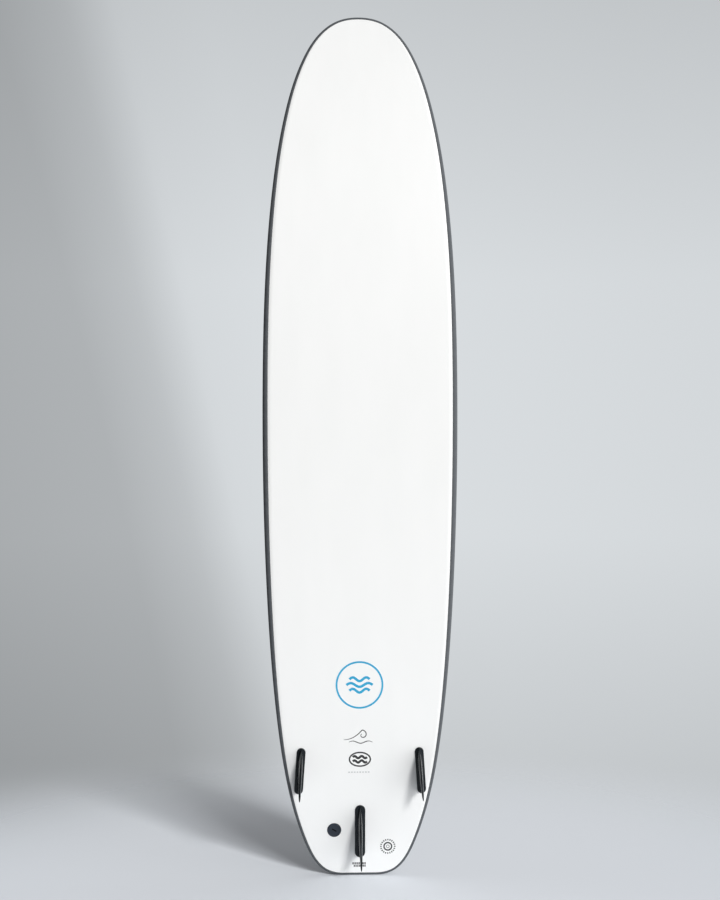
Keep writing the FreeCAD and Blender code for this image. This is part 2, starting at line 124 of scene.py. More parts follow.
# Prints lie this far out of the slick sheet. Their middles are (x, z)
INK = 0.00012
RING_AT, RING_R, RING_LINE = (-0.0025, 0.574), 0.068, 0.0054
RING_SWELLS = ((0.017, 0.060), (0.0, 0.078), (-0.017, 0.060))
RING_SWELL_HEIGHT, RING_SWELL_WAVES, RING_SWELL_LINE = 0.0055, 1.5, 0.0075
WAVE_AT = (-0.006, 0.422)
PEN_THIN, PEN_MORE, PEN_POWER = 0.0010, 0.0018, 0.6
RISE_START, RISE_RUN, RISE_HEIGHT, RISE_POWER = (-0.043, -0.011), 0.054, 0.028, 2.2
CURL_AT, CURL_FROM, CURL_TURN, CURL_R, CURL_SHRINK = (0.0125, 0.0035), 96, 330, 0.0140, 0.0112
UNDER_START, UNDER_RUN, UNDER_HEIGHT = (-0.028, -0.0185), 0.070, 0.0034
RISE_STEPS, CURL_STEPS, UNDER_STEPS = 40, 60, 50
OVAL_AT, OVAL_SIZE, OVAL_LINE = (-0.001, 0.352), (0.031, 0.0205), 0.0044
OVAL_SWELL_RISE, OVAL_SWELL, OVAL_SWELL_LINE = 0.0065, (0.042, 0.0032, 2), 0.0070
DASHES_AT, DASHES_HALF, DASH_COUNT = (-0.004, 0.3135), 0.029, 8
DASH_HALF, DASH_TALL = 0.0026, 0.0028
BADGE_AT, BADGE_RINGS = (0.083, 0.0875), ((0.0114, 0.0042, 96), (0.0045, 0.0014, 48))
TICK_COUNT, TICK_FROM, TICK_TO, TICK_LINE = 20, 0.0182, 0.0230, 0.0034
# Tail rows: middle x, z, half length, dash length, dash height
TAIL_ROWS = ((-0.0025, 0.0366, 0.0178, 0.0040, 0.0068), (-0.0008, 0.0288, 0.0160, 0.0036, 0.0058))
TAIL_ROW_SPACING = 1.2

# Stage: metres, degrees and linear tones
FLOOR_RADII = (0.0, 0.4, 0.8, 1.2, 1.6, 2.0)
FLOOR_FADE = (0.5, 1.9)
FLOOR_TONE, FAR_FLOOR_TONE = (0.65, 0.68, 0.725, 1), (0.61, 0.645, 0.69, 1)
FAR_FLOOR_BAND = (-0.30, -0.21)
WALL_TINT, WALL_LEAN = (0.958, 1.0, 1.032, 1), 0.23
GLOW_STRENGTH = 1.92
LAMP_TONE = (1.0, 0.995, 0.985)
CAMERA_DISTANCE, CAMERA_HEIGHT, CAMERA_TURN, CAMERA_SHIFT = 4.10, 1.2695, 2.2, -0.0012
SENSOR_MM, LENS_MM = 36, 55.456


# ---------------------------------------------------------------- board surfaces

def bottom_y(z):
    tail = max(0.0, (TAIL_LIFT_FROM - z) / TAIL_LIFT_FROM)
    nose = max(0.0, (z - NOSE_LIFT_FROM) / (LENGTH - NOSE_LIFT_FROM))
    return BOTTOM_LOW_Y + TAIL_LIFT * tail ** TAIL_LIFT_POWER + NOSE_LIFT * nose ** NOSE_LIFT_POWER


def deck_y(x, z):
    thinning = END_THINNING * abs(2 * z / LENGTH - 1) ** THINNING_POWER
    return bottom_y(z) + THICKNESS * (1 - thinning) - x * x / (2 * DECK_CROWN_RADIUS)


def along_length(sizes, z):
    """A size that is smallest at tail and nose and largest at mid length."""
    ends, middle = sizes
    return ends + (middle - ends) * math.sin(math.pi * min(max(z / LENGTH, 0.0), 1.0)) ** BAND_POWER


def spline_through(points, start, end):
    """Smooth curve through the points with the given end directions, as a function from 0 to 1."""
    points = np.array(points, float)
    spans = np.linalg.norm(np.diff(points, axis=0), axis=1)
    knots = np.concatenate([[0], np.cumsum(spans)])
    count = len(points)
    matrix = np.eye(count)
    right = np.zeros((count, 2))
    right[0], right[-1] = start, end
    for i in range(1, count - 1):
        before, after = spans[i - 1], spans[i]
        matrix[i, i - 1:i + 2] = after, 2 * (before + after), before
        right[i] = 3 * (after * (points[i] - points[i - 1]) / before
                        + before * (points[i + 1] - points[i]) / after)
    slopes = np.linalg.solve(matrix, right)

    def at(share):
        where = share * knots[-1]
        i = min(max(int(np.searchsorted(knots, where)) - 1, 0), count - 2)
        span = spans[i]
        t = (where - knots[i]) / span
        a, b, c, d = points[i], points[i + 1], slopes[i] * span, slopes[i + 1] * span
        point = ((2*t**3 - 3*t**2 + 1) * a + (3*t**2 - 2*t**3) * b
                 + (t**3 - 2*t**2 + t) * c + (t**3 - t**2) * d)
        run = (6*t**2 - 6*t) * (a - b) + (3*t**2 - 4*t + 1) * c + (3*t**2 - 2*t) * d
        return point, run / np.linalg.norm(run)
    return at


def port_stations(count=110, crowding=1.5):
    """Points round the port half of the outline, tail land to nose, each with its way inwards."""
    land, wide = (TAIL_LAND_HALF, 0), (WIDE_HALF, WIDE_POINT_Z)
    aft = spline_through([land] + AFT_STATIONS + [wide], (1, 0), (0, 1))
    fore = spline_through([wide] + FORE_STATIONS + [(0, LENGTH)], (0, 1), (-1, 0))
    found = []
    for step in range(count + 1):
        point, run = aft((step / count) ** crowding)
        found.append((point[0], point[1], -run[1], run[0]))
    for step in range(1, count + 1):
        point, run = fore(1 - (1 - step / count) ** crowding)
        found.append((point[0], point[1], -run[1], run[0]))
    return found


STATIONS = port_stations()


# ---------------------------------------------------------------- mesh helpers

def new_piece(name, vertices, faces, smooth=True):
    mesh = bpy.data.meshes.new(name)
    mesh.from_pydata([tuple(v) for v in vertices], [], faces)
    mesh.validate()
    work = bmesh.new()
    work.from_mesh(mesh)
    bmesh.ops.remove_doubles(work, verts=work.verts, dist=1e-6)
    bmesh.ops.recalc_face_normals(work, faces=work.faces)
    work.to_mesh(mesh)
    work.free()
    for polygon in mesh.polygons:
        polygon.use_smooth = smooth
    piece = bpy.data.objects.new(name, mesh)
    bpy.context.scene.collection.objects.link(piece)
    return piece


def skin_rings(rings, closed=True, cap_start=False, cap_end=False):
    """Faces that join rings of points, each ring with as many points."""
    count = len(rings[0])
    vertices = [point for ring in rings for point in ring]
    faces = []
    for r in range(len(rings) - 1):
        for i in range(count if closed else count - 1):
            j = (i + 1) % count
            faces.append((r * count + i, r * count + j, (r + 1) * count + j, (r + 1) * count + i))
    for wanted, base in ((cap_start, 0), (cap_end, (len(rings) - 1) * count)):
        if wanted:
            half = count // 2
            for i in range(half):
                a, b, c, d = i, i + 1, count - 1 - i, (count - i) % count
                corners = []
                for corner in (a, b, c, d):
                    if corner not in corners:
                        corners.append(corner)
                if len(corners) > 2:
                    faces.append(tuple(base + corner for corner in corners))
    return vertices, faces


def lathe(name, profile, seat, count=64):
    """A turned piece: profile is (radius, height) pairs, height along the seat's +Y."""
    rings = []
    for radius, height in profile:
        ring = []
        for i in range(count):
            angle = 2 * math.pi * i / count
            ring.append(seat @ Vector((radius * math.cos(angle), height, radius * math.sin(angle))))
        rings.append(ring)
    vertices, faces = skin_rings(rings, cap_start=True, cap_end=True)
    return new_piece(name, vertices, faces)


def cut_away(piece, cutters):
    """Boolean difference, applied, and the cutters removed."""
    for cutter in cutters:
        modifier = piece.modifiers.new("cut", "BOOLEAN")
        modifier.object = cutter
        modifier.operation = "DIFFERENCE"
        modifier.solver = "EXACT"
    graph = bpy.context.evaluated_depsgraph_get()
    mesh = bpy.data.meshes.new_from_object(piece.evaluated_get(graph))
    piece.modifiers.clear()
    old, piece.data = piece.data, mesh
    bpy.data.meshes.remove(old)
    for cutter in cutters:
        bpy.data.objects.remove(cutter)


def sharp_by_angle(piece, degrees):
    """Keep edges sharper than this crisp under smooth shading."""
    piece.data.set_sharp_from_angle(angle=math.radians(degrees))


def seat_matrix(x, z, toe=0.0):
    """Local frame on the bottom: +Y straight into the board, +Z to the nose."""
    step = 0.001
    slope = (bottom_y(z + step) - bottom_y(z - step)) / (2 * step)
    tilt = Matrix.Rotation(-math.atan(slope), 4, "X")
    turn = Matrix.Rotation(-math.radians(toe), 4, "Y")
    return Matrix.Translation((x, bottom_y(z), z)) @ tilt @ turn


def deck_height(seat, z=0.0):
    """How far the deck is from the bottom, straight in from a seat."""
    height = THICKNESS / 2
    for _ in range(8):
        point = seat @ Vector((0, height, z))
        height += deck_y(point.x, point.z) - point.y
    return height


def stadium_ring(length, width, y, inset=0.0, count=96):
    """Points round a bar with round ends, in step with the points of a blade section.

    The points of a blade section that lie within a turn of its ends go round the bar's ends.
    """
    turn = math.radians(END_TURN)
    half, r = length / 2 - width / 2, width / 2 - inset
    ring = []
    for i in range(count):
        angle = 2 * math.pi * i / count
        side = 1 if math.sin(angle) >= 0 else -1
        end = 1 if math.cos(angle) >= 0 else -1
        fold = math.acos(min(1.0, abs(math.cos(angle))))
        if fold < turn:
            bend = fold / turn * math.pi / 2
            ring.append(Vector((side * r * math.sin(bend), y, end * (half + r * math.cos(bend)))))
        else:
            ring.append(Vector((side * r, y, end * half * math.cos(fold) / math.cos(turn))))
    return ring


# ---------------------------------------------------------------- board pieces

def inset_point(station, inset, side):
    x, z, nx, nz = station
    return side * (x + nx * inset), z + nz * inset


def sheet_piece(name, width_in, outer_y, direction, thickness, soft, columns=48):
    """A sheet over the whole plan inside a seam, with its edge rounded over."""
    bend = soft * SEAM_BEND
    edge = [(0.0, thickness), (0.0, soft), (bend, bend), (soft, 0.0)]
    rows = []
    for station in STATIONS:
        line = []
        for inset, depth in edge:
            x, z = inset_point(station, width_in(station[1]) + inset, 1)
            line.append((x, z, depth))
        x_edge, z_edge, _ = line[-1]
        for step in range(1, columns):
            share = 1 - 2 * step / columns
            line.append((x_edge * share, z_edge, 0.0))
        line += [(-x, z, depth) for x, z, depth in reversed(line[:len(edge)])]
        rows.append([Vector((x, outer_y(x, z) + direction * depth, z)) for x, z, depth in line])
    outer_vertices, faces = skin_rings(rows, closed=False)
    count = len(rows[0])
    back = []
    for row in rows:
        low, high = row[0], row[-1]
        for step in range(count):
            share = step / (count - 1)
            x, z = low.x + (high.x - low.x) * share, low.z
            back.append(Vector((x, outer_y(x, z) + direction * thickness, z)))
    shift = len(outer_vertices)
    back_faces = [tuple(shift + i for i in reversed(face)) for face in faces]
    ends = []
    for i in range(count - 1):
        ends.append((i, i + 1, shift + i + 1, shift + i))
        last = (len(rows) - 1) * count
        ends.append((last + i + 1, last + i, shift + last + i, shift + last + i + 1))
    sides = []
    for r in range(len(rows) - 1):
        a, b = r * count, (r + 1) * count
        sides.append((a, shift + a, shift + b, b))
        a, b = a + count - 1, b + count - 1
        sides.append((b, shift + b, shift + a, a))
    return new_piece(name, outer_vertices + back, faces + back_faces + ends + sides)


def arc_points(centre, radius, start, end, count):
    """Points on an arc in the section, angles in degrees from the inward direction."""
    found = []
    for step in range(count + 1):
        angle = math.radians(start + (end - start) * step / count)
        found.append((centre[0] + radius * math.cos(angle), centre[1] + radius * math.sin(angle)))
    return found


def rail_section(station, side, sunk=0.0):
    """Ring of points round the rail foam, square to the edge of the board at one station."""
    z = station[1]
    low_r, high_r = along_length(BOTTOM_EDGE_R, z), along_length(DECK_EDGE_R, z)
    band, lap = along_length(BAND_WIDTH, z), along_length(DECK_LAP, z)
    low_soft, high_soft = BOTTOM_SEAM_ROUND, DECK_SEAM_ROUND
    points = []

    def add(inset, rise, from_deck=False):
        x, at_z = inset_point(station, inset, side)
        y = deck_y(x, at_z) - rise if from_deck else bottom_y(at_z) + rise
        points.append(Vector((x, y, at_z)))

    add(band, BOTTOM_STACK)
    add(band, low_soft + sunk)
    add(band - low_soft * SEAM_BEND, low_soft * SEAM_BEND + sunk)
    add(band - low_soft, sunk)
    for inset, rise in arc_points((low_r, low_r), low_r - sunk, start=270, end=180, count=12):
        add(inset, rise)
    for inset, drop in arc_points((high_r, high_r), high_r - sunk, start=180, end=270, count=16):
        add(inset, drop, True)
    for step in range(1, 4):
        add(high_r + (lap - high_soft - high_r) * step / 3, sunk, True)
    add(lap - high_soft * SEAM_BEND, high_soft * SEAM_BEND + sunk, True)
    add(lap, high_soft + sunk, True)
    add(lap, DECK_STACK, True)
    add(high_r, DECK_STACK, True)
    corner = high_r - (high_r - RAIL_FOAM) * math.sqrt(0.5)
    add(corner, corner, True)
    add(RAIL_FOAM, high_r, True)
    add(RAIL_FOAM, BOTTOM_STACK)
    return points


def rail_piece(name, side):
    """One foam rail band, tail joint to nose joint, with a softened butt joint at each end."""
    joint = (BUTT_GAP, BUTT_GAP + BUTT_SOFT)
    nose_z = STATIONS[-1][1]
    stations = [(x, 0.0, 0.0, 1.0) for x in joint + TAIL_LAND_STEPS] + STATIONS[:-1]
    stations += [(x, nose_z, 0.0, -1.0) for x in reversed(joint)]
    rings = []
    for number, station in enumerate(stations):
        at_joint = number in (0, len(stations) - 1)
        rings.append(rail_section(station, side, BUTT_SUNK if at_joint else 0.0))
    vertices, faces = skin_rings(rings)
    count = len(rings[0])
    faces.append(tuple(range(count)))
    faces.append(tuple((len(rings) - 1) * count + i for i in reversed(range(count))))
    return new_piece(name, vertices, faces)


# ---------------------------------------------------------------- fins and plug

def blade_ring(fin, share, swell=0.0, count=96):
    """Blade section at a share of the depth: fuller ahead near the root, blunt at the tip."""
    tip = -fin["flange"][0] / 2 - fin["hang"]
    half = fin["root"] / 2
    front = half + (tip + TIP_CHORD - half) * share ** FRONT_SWEEP
    bow = TRAILING_BOW * fin["root"] * math.sin(math.pi * share)
    rear = -half + (tip + half) * share ** REAR_SWEEP + bow
    tip_round = math.sqrt(1 - share ** TIP_ROUNDING)
    reach = (front - rear) / 2 * tip_round
    thickness = fin["root_t"] * (1 - BLADE_TAPER * share) * tip_round
    lean = (fin["depth"] * share) * math.tan(math.radians(fin["cant"]))
    blunt = 1 - TIP_BLUNTNESS * share ** BLUNTING_POWER
    ring = []
    for i in range(count):
        angle = 2 * math.pi * i / count
        round_over = math.copysign(abs(math.sin(angle)) ** blunt, math.sin(angle))
        fullness = 1 + BLADE_FULLNESS * (1 - share) * math.cos(angle)
        across = (thickness / 2 + swell) * round_over * fullness
        along = rear + reach + (reach + swell * FILLET_ALONG) * math.cos(angle)
        ring.append(Vector((across + lean, -fin["depth"] * share, along)))
    return ring


def fin_seat(fin, side):
    """The local frame of a fin's flange."""
    return seat_matrix(side * fin["x"], fin["z"], side * fin["toe"])


def screw_seats(fin, side):
    """The seat at each of a fin's two screws, and how far along the fin it is."""
    seat = fin_seat(fin, side)
    return [(seat @ Matrix.Translation((0, 0, z)), z) for z in (-fin["screws"], fin["screws"])]


def fin_piece(name, fin, side):
    """Flange, root fillet and swept blade in one skin, with the two insert holes."""
    length, width = fin["flange"]
    rings = [stadium_ring(length, width, POCKET_DEPTH, FLANGE_CHAMFER),
             stadium_ring(length, width, POCKET_DEPTH - FLANGE_CHAMFER),
             stadium_ring(length, width, -FLANGE_PROUD + FLANGE_EDGE_R)]
    for step in range(1, EDGE_STEPS + 1):
        angle = math.pi / 2 * step / EDGE_STEPS
        rings.append(stadium_ring(length, width,
                                  -FLANGE_PROUD + FLANGE_EDGE_R * (1 - math.sin(angle)),
                                  FLANGE_EDGE_R * (1 - math.cos(angle))))
    for step in range(FILLET_STEPS + 1):
        height = ROOT_FILLET_R * (1 - math.cos(math.pi / 2 * step / FILLET_STEPS))
        flat = math.sqrt(max(0.0, ROOT_FILLET_R ** 2 - (ROOT_FILLET_R - height) ** 2))
        swell = ROOT_FILLET_R - flat
        rings.append(blade_ring(fin, (FLANGE_PROUD + height) / fin["depth"], swell))
    first = (FLANGE_PROUD + ROOT_FILLET_R) / fin["depth"]
    # The last ring stops just short of the tip, where the section would shrink to a point.
    for step in range(1, BLADE_STEPS + 1):
        along = step / (BLADE_STEPS + TIP_STOPS_SHORT)
        share = first + (1 - first) * (1 - (1 - along) ** 2)
        rings.append(blade_ring(fin, share))
    if side < 0:
        rings = [[Vector((-point.x, point.y, point.z)) for point in ring] for ring in rings]
    seat = fin_seat(fin, side)
    rings = [[seat @ point for point in ring] for ring in rings]
    vertices, faces = skin_rings(rings, cap_start=True, cap_end=True)
    piece = new_piece(name, vertices, faces)
    floor = POCKET_DEPTH - INSERT_LENGTH
    profile = [(INSERT_BORE_R, floor - BEYOND), (INSERT_BORE_R, floor), (INSERT_R, floor),
               (INSERT_R, POCKET_DEPTH + BEYOND)]
    cut_away(piece, [lathe("hole", profile, hole, count=40) for hole, _ in screw_seats(fin, side)])
    sharp_by_angle(piece, degrees=40)
    return piece


def fin_places():
    return (("centre", CENTRE_FIN, 1), ("port", SIDE_FIN, 1), ("starboard", SIDE_FIN, -1))


def pocket_cutter(fin, side):
    length, width = (size + 2 * FLANGE_GAP for size in fin["flange"])
    seat = fin_seat(fin, side)
    rings = [[seat @ point for point in stadium_ring(length, width, y)] for y in POCKET_ROOM]
    vertices, faces = skin_rings(rings, cap_start=True, cap_end=True)
    return new_piece("pocket", vertices, faces)


def cup_cutter(name, seat, top, barrel_r, flange_r, flange_t):
    """The room for a cup with a flange, down from its top."""
    shoulder = top - flange_t - HOLE_GAP
    profile = [(barrel_r + HOLE_GAP, top - CLEAR), (barrel_r + HOLE_GAP, shoulder),
               (flange_r + HOLE_GAP, shoulder), (flange_r + HOLE_GAP, top + CLEAR)]
    return lathe(name, profile, seat)


def deck_cutters():
    """The room that each deck cup and the leash cup take in the deck foam."""
    cutters = []
    for _, fin, side in fin_places():
        for hole, z in screw_seats(fin, side):
            top = deck_height(fin_seat(fin, side), z) + CUP_PROUD
            cutters.append(cup_cutter("cup_room", hole, top,
                                      CUP_BARREL_R, CUP_FLANGE_R, CUP_FLANGE_T))
    seat = seat_matrix(LEASH_X, LEASH_Z)
    top = deck_height(seat) + CUP_PROUD
    cutters.append(cup_cutter("leash_room", seat, top, LEASH_CUP_R, LEASH_FLANGE_R, LEASH_FLANGE_T))
    return cutters


def leash_disc_piece(name):
    """Disc with a raised rim, a dished face and a coin slot, and its stud."""
    seat = seat_matrix(LEASH_X, LEASH_Z)
    low, r = LEASH_DISC_SUNK - LEASH_DISC_T, LEASH_DISC_R
    profile = [(POLE_R, LEASH_STUD_L), (LEASH_STUD_R - LEASH_STUD_CHAMFER, LEASH_STUD_L),
               (LEASH_STUD_R, LEASH_STUD_L - LEASH_STUD_CHAMFER), (LEASH_STUD_R, LEASH_DISC_SUNK),
               (r - LEASH_CHAMFER, LEASH_DISC_SUNK), (r, LEASH_DISC_SUNK - LEASH_CHAMFER)]
    for step in range(LEASH_EDGE_STEPS + 1):
        angle = math.pi / 2 * step / LEASH_EDGE_STEPS
        profile.append((r - LEASH_EDGE_R * (1 - math.cos(angle)),
                        low + LEASH_EDGE_R * (1 - math.sin(angle))))
    profile += [(r - inset, low + drop) for inset, drop in LEASH_FACE]
    profile.append((POLE_R, low + LEASH_FACE[-1][1]))
    piece = lathe(name, profile, seat, count=96)
    slot_matrix = seat @ Matrix.Rotation(math.radians(90 + LEASH_SLOT_TURN), 4, "Y")
    width, depth, length = LEASH_SLOT
    rings = [[slot_matrix @ point for point in stadium_ring(length, width, y)]
             for y in (low - SLOT_ROOM, low + depth)]
    vertices, faces = skin_rings(rings, cap_start=True, cap_end=True)
    cut_away(piece, [new_piece("slot", vertices, faces)])
    sharp_by_angle(piece, degrees=35)
    return piece


# ---------------------------------------------------------------- prints

def ribbon(path, width, closed=False):
    """A flat line of ink along (x, z) points, standing a hair out of the sheet."""
    count = len(path)
    vertices, faces = [], []
    for i, (x, z) in enumerate(path):
        before = path[(i - 1) % count] if closed or i else path[0]
        after = path[(i + 1) % count] if closed or i < count - 1 else path[-1]
        run = Vector((after[0] - before[0], after[1] - before[1])).normalized()
        half = width(i / max(1, count - 1)) / 2 if callable(width) else width / 2
        for offset in (-half, half):
            px, pz = x - run.y * offset, z + run.x * offset
            for depth in (INK, -INK):
                vertices.append(Vector((px, bottom_y(pz) - depth, pz)))
    spans = count if closed else count - 1
    for i in range(spans):
        a, b = 4 * i, 4 * ((i + 1) % count)
        faces += [(a, a + 2, b + 2, b), (a + 3, a + 1, b + 1, b + 3), (a + 1, a, b, b + 1),
                  (a + 2, a + 3, b + 3, b + 2)]
    if not closed:
        last = 4 * (count - 1)
        faces += [(0, 1, 3, 2), (last, last + 2, last + 3, last + 1)]
    return vertices, faces


def print_piece(name, ribbons, material):
    vertices, faces = [], []
    for more_vertices, more_faces in ribbons:
        shift = len(vertices)
        vertices += more_vertices
        faces += [tuple(shift + i for i in face) for face in more_faces]
    piece = new_piece(name, vertices, faces, smooth=False)
    piece.data.materials.append(material)
    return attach(piece, "board")


def loop_path(cx, cz, rx, rz, count=96):
    turns = [2 * math.pi * i / count for i in range(count)]
    return [(cx + rx * math.sin(turn), cz + rz * math.cos(turn)) for turn in turns]


def swell_path(cx, cz, length, height, waves, count=72):
    """A row of rounded swells."""
    path = []
    for i in range(count + 1):
        share = i / count
        x = cx + (share - 0.5) * length
        path.append((x, cz + height * math.sin(2 * math.pi * waves * share)))
    return path


# ---------------------------------------------------------------- materials

def material(name):
    made = bpy.data.materials.new(name)
    made.use_nodes = True
    tree = made.node_tree
    return made, tree, tree.nodes["Principled BSDF"]


def node(tree, kind, **values):
    """A new node: each value is an attribute of the node, or else one of its sockets."""
    made = tree.nodes.new(kind)
    for key, value in values.items():
        if hasattr(made, key):
            setattr(made, key, value)
        else:
            made.inputs[key.replace("_", " ")].default_value = value
    return made


def placed(tree, texture, stretch):
    """Hang a texture on the piece's own coordinates, stretched along X, Y and Z."""
    place = tree.nodes.new("ShaderNodeTexCoord")
    size = tree.nodes.new("ShaderNodeMapping")
    size.inputs["Scale"].default_value = stretch
    tree.links.new(place.outputs["Object"], size.inputs["Vector"])
    tree.links.new(size.outputs["Vector"], texture.inputs["Vector"])
    return texture


def noise(tree, scale, detail, rough, stretch=(1, 1, 1)):
    texture = node(tree, "ShaderNodeTexNoise", Scale=scale, Detail=detail, Roughness=rough)
    return placed(tree, texture, stretch).outputs["Fac"]


def cells(tree, scale, stretch=(1, 1, 1), feature="F1"):
    texture = node(tree, "ShaderNodeTexVoronoi", feature=feature, Scale=scale)
    return placed(tree, texture, stretch).outputs["Distance"]


def ramp(tree, source, stops):
    """stops: (position, colour) pairs; a single number is a grey."""
    made = tree.nodes.new("ShaderNodeValToRGB")
    elements = made.color_ramp.elements
    while len(elements) < len(stops):
        elements.new(0.5)
    for element, (position, colour) in zip(elements, stops):
        element.position = position
        element.color = (*colour, 1) if isinstance(colour, tuple) else (colour, colour, colour, 1)
    tree.links.new(source, made.inputs["Fac"])
    return made.outputs["Color"]


def bump(tree, source, distance, strength, under=None):
    made = node(tree, "ShaderNodeBump", Strength=strength, Distance=distance)
    tree.links.new(source, made.inputs["Height"])
    if under:
        tree.links.new(under, made.inputs["Normal"])
    return made.outputs["Normal"]


def paint(tree, shader, source, low, high, stops=(0.3, 0.7)):
    """Base colour that wanders between two tones with a texture."""
    tree.links.new(ramp(tree, source, list(zip(stops, (low, high)))), shader.inputs["Base Color"])


def roughen(tree, shader, source, roughness, stops=(0.3, 0.7)):
    """Roughness that wanders between two values with a texture."""
    tree.links.new(ramp(tree, source, list(zip(stops, roughness))), shader.inputs["Roughness"])


def slick_white():
    """Heat-bonded slick sheet: white, satin, faintly rippled lengthways, with light scuffs."""
    made, tree, shader = material("slick_white")
    ripple = noise(tree, scale=14, detail=2, rough=0.5, stretch=(1, 1, 0.25))
    paint(tree, shader, ripple, (0.918, 0.926, 0.922), (0.932, 0.938, 0.935))
    grain = noise(tree, scale=900, detail=3, rough=0.6)
    scuff = noise(tree, scale=30, detail=6, rough=0.7, stretch=(1, 1, 0.15))
    roughen(tree, shader, scuff, (0.30, 0.42), stops=(0.35, 0.65))
    normal = bump(tree, ripple, distance=0.0003, strength=0.35)
    normal = bump(tree, grain, distance=0.00004, strength=0.6, under=normal)
    tree.links.new(normal, shader.inputs["Normal"])
    return made


def foam(name, low, high, emboss=False):
    """Closed-cell foam with a heat-sealed skin: matt, fine cells, faint mottling."""
    made, tree, shader = material(name)
    mottle = noise(tree, scale=60, detail=5, rough=0.65)
    speck = noise(tree, scale=1400, detail=2, rough=0.6)
    blend = node(tree, "ShaderNodeMix", data_type="RGBA", blend_type="MULTIPLY")
    blend.inputs[0].default_value = 0.55
    tree.links.new(ramp(tree, mottle, [(0.3, low), (0.7, high)]), blend.inputs[6])
    tree.links.new(ramp(tree, speck, [(0.25, 0.62), (0.7, 1.0)]), blend.inputs[7])
    tree.links.new(blend.outputs[2], shader.inputs["Base Color"])
    shader.inputs["Specular IOR Level"].default_value = 0.35
    roughen(tree, shader, mottle, (0.62, 0.78))
    normal = bump(tree, cells(tree, scale=1100), distance=0.00018, strength=0.7)
    wave = noise(tree, scale=45, detail=3, rough=0.5)
    normal = bump(tree, wave, distance=0.0008, strength=0.35, under=normal)
    if emboss:
        lattice = cells(tree, scale=230, stretch=(1, 0.02, 0.6), feature="DISTANCE_TO_EDGE")
        grooves = ramp(tree, lattice, [(0.0, 0.0), (0.12, 1.0)])
        normal = bump(tree, grooves, distance=0.0005, strength=0.8, under=normal)
    tree.links.new(normal, shader.inputs["Normal"])
    return made


def moulded(name, low, high, roughness, grain=1200, streaks=0.0):
    """Injection-moulded plastic with a fine spark texture and faint flow lines."""
    made, tree, shader = material(name)
    shader.inputs["Specular IOR Level"].default_value = 0.3
    shader.inputs["Specular Tint"].default_value = (0.84, 0.93, 1.0, 1)
    flow = noise(tree, scale=40, detail=4, rough=0.6, stretch=(1, 1, 0.3))
    paint(tree, shader, flow, low, high)
    roughen(tree, shader, flow, roughness)
    spark = noise(tree, scale=grain, detail=3, rough=0.6)
    normal = bump(tree, spark, distance=0.00006, strength=0.6)
    if streaks:
        drawn = noise(tree, scale=260, detail=3, rough=0.6, stretch=(1, 1, 0.08))
        normal = bump(tree, drawn, distance=streaks, strength=0.5, under=normal)
    tree.links.new(normal, shader.inputs["Normal"])
    return made


def ink(name, low, high):
    """Screen-print ink: flat colour with slight unevenness in density."""
    made, tree, shader = material(name)
    body = noise(tree, scale=260, detail=4, rough=0.7)
    paint(tree, shader, body, low, high, stops=(0.3, 0.6))
    roughen(tree, shader, body, (0.36, 0.5))
    return made


def metal(name, low, high, roughness, stretch):
    """Turned metal with brush marks."""
    made, tree, shader = material(name)
    shader.inputs["Metallic"].default_value = 1.0
    brush = noise(tree, scale=700, detail=4, rough=0.6, stretch=stretch)
    paint(tree, shader, brush, low, high)
    roughen(tree, shader, brush, roughness)
    tree.links.new(bump(tree, brush, distance=0.00003, strength=0.6), shader.inputs["Normal"])
    return made


def wood():
    made, tree, shader = material("stringer_wood")
    grain = noise(tree, scale=90, detail=6, rough=0.65, stretch=(1, 1, 0.05))
    paint(tree, shader, grain, (0.36, 0.21, 0.10), (0.58, 0.40, 0.22), stops=(0.35, 0.65))
    shader.inputs["Roughness"].default_value = 0.6
    tree.links.new(bump(tree, grain, distance=0.0002, strength=0.5), shader.inputs["Normal"])
    return made


def bead_foam(name, low, high, scale):
    """Fused beads with darker joints between them."""
    made, tree, shader = material(name)
    beads = cells(tree, scale, feature="DISTANCE_TO_EDGE")
    paint(tree, shader, beads, low, high, stops=(0.0, 0.12))
    shader.inputs["Roughness"].default_value = 0.8
    tree.links.new(bump(tree, beads, distance=0.0006, strength=0.6), shader.inputs["Normal"])
    return made


def glass_mesh():
    """Open weave of glass strands set in resin."""
    made, tree, shader = material("glass_mesh")
    weave = cells(tree, scale=320, stretch=(1, 0.02, 1), feature="DISTANCE_TO_EDGE")
    paint(tree, shader, weave, (0.86, 0.88, 0.84), (0.62, 0.66, 0.6), stops=(0.0, 0.2))
    shader.inputs["Roughness"].default_value = 0.45
    tree.links.new(bump(tree, weave, distance=0.0003, strength=0.6), shader.inputs["Normal"])
    return made


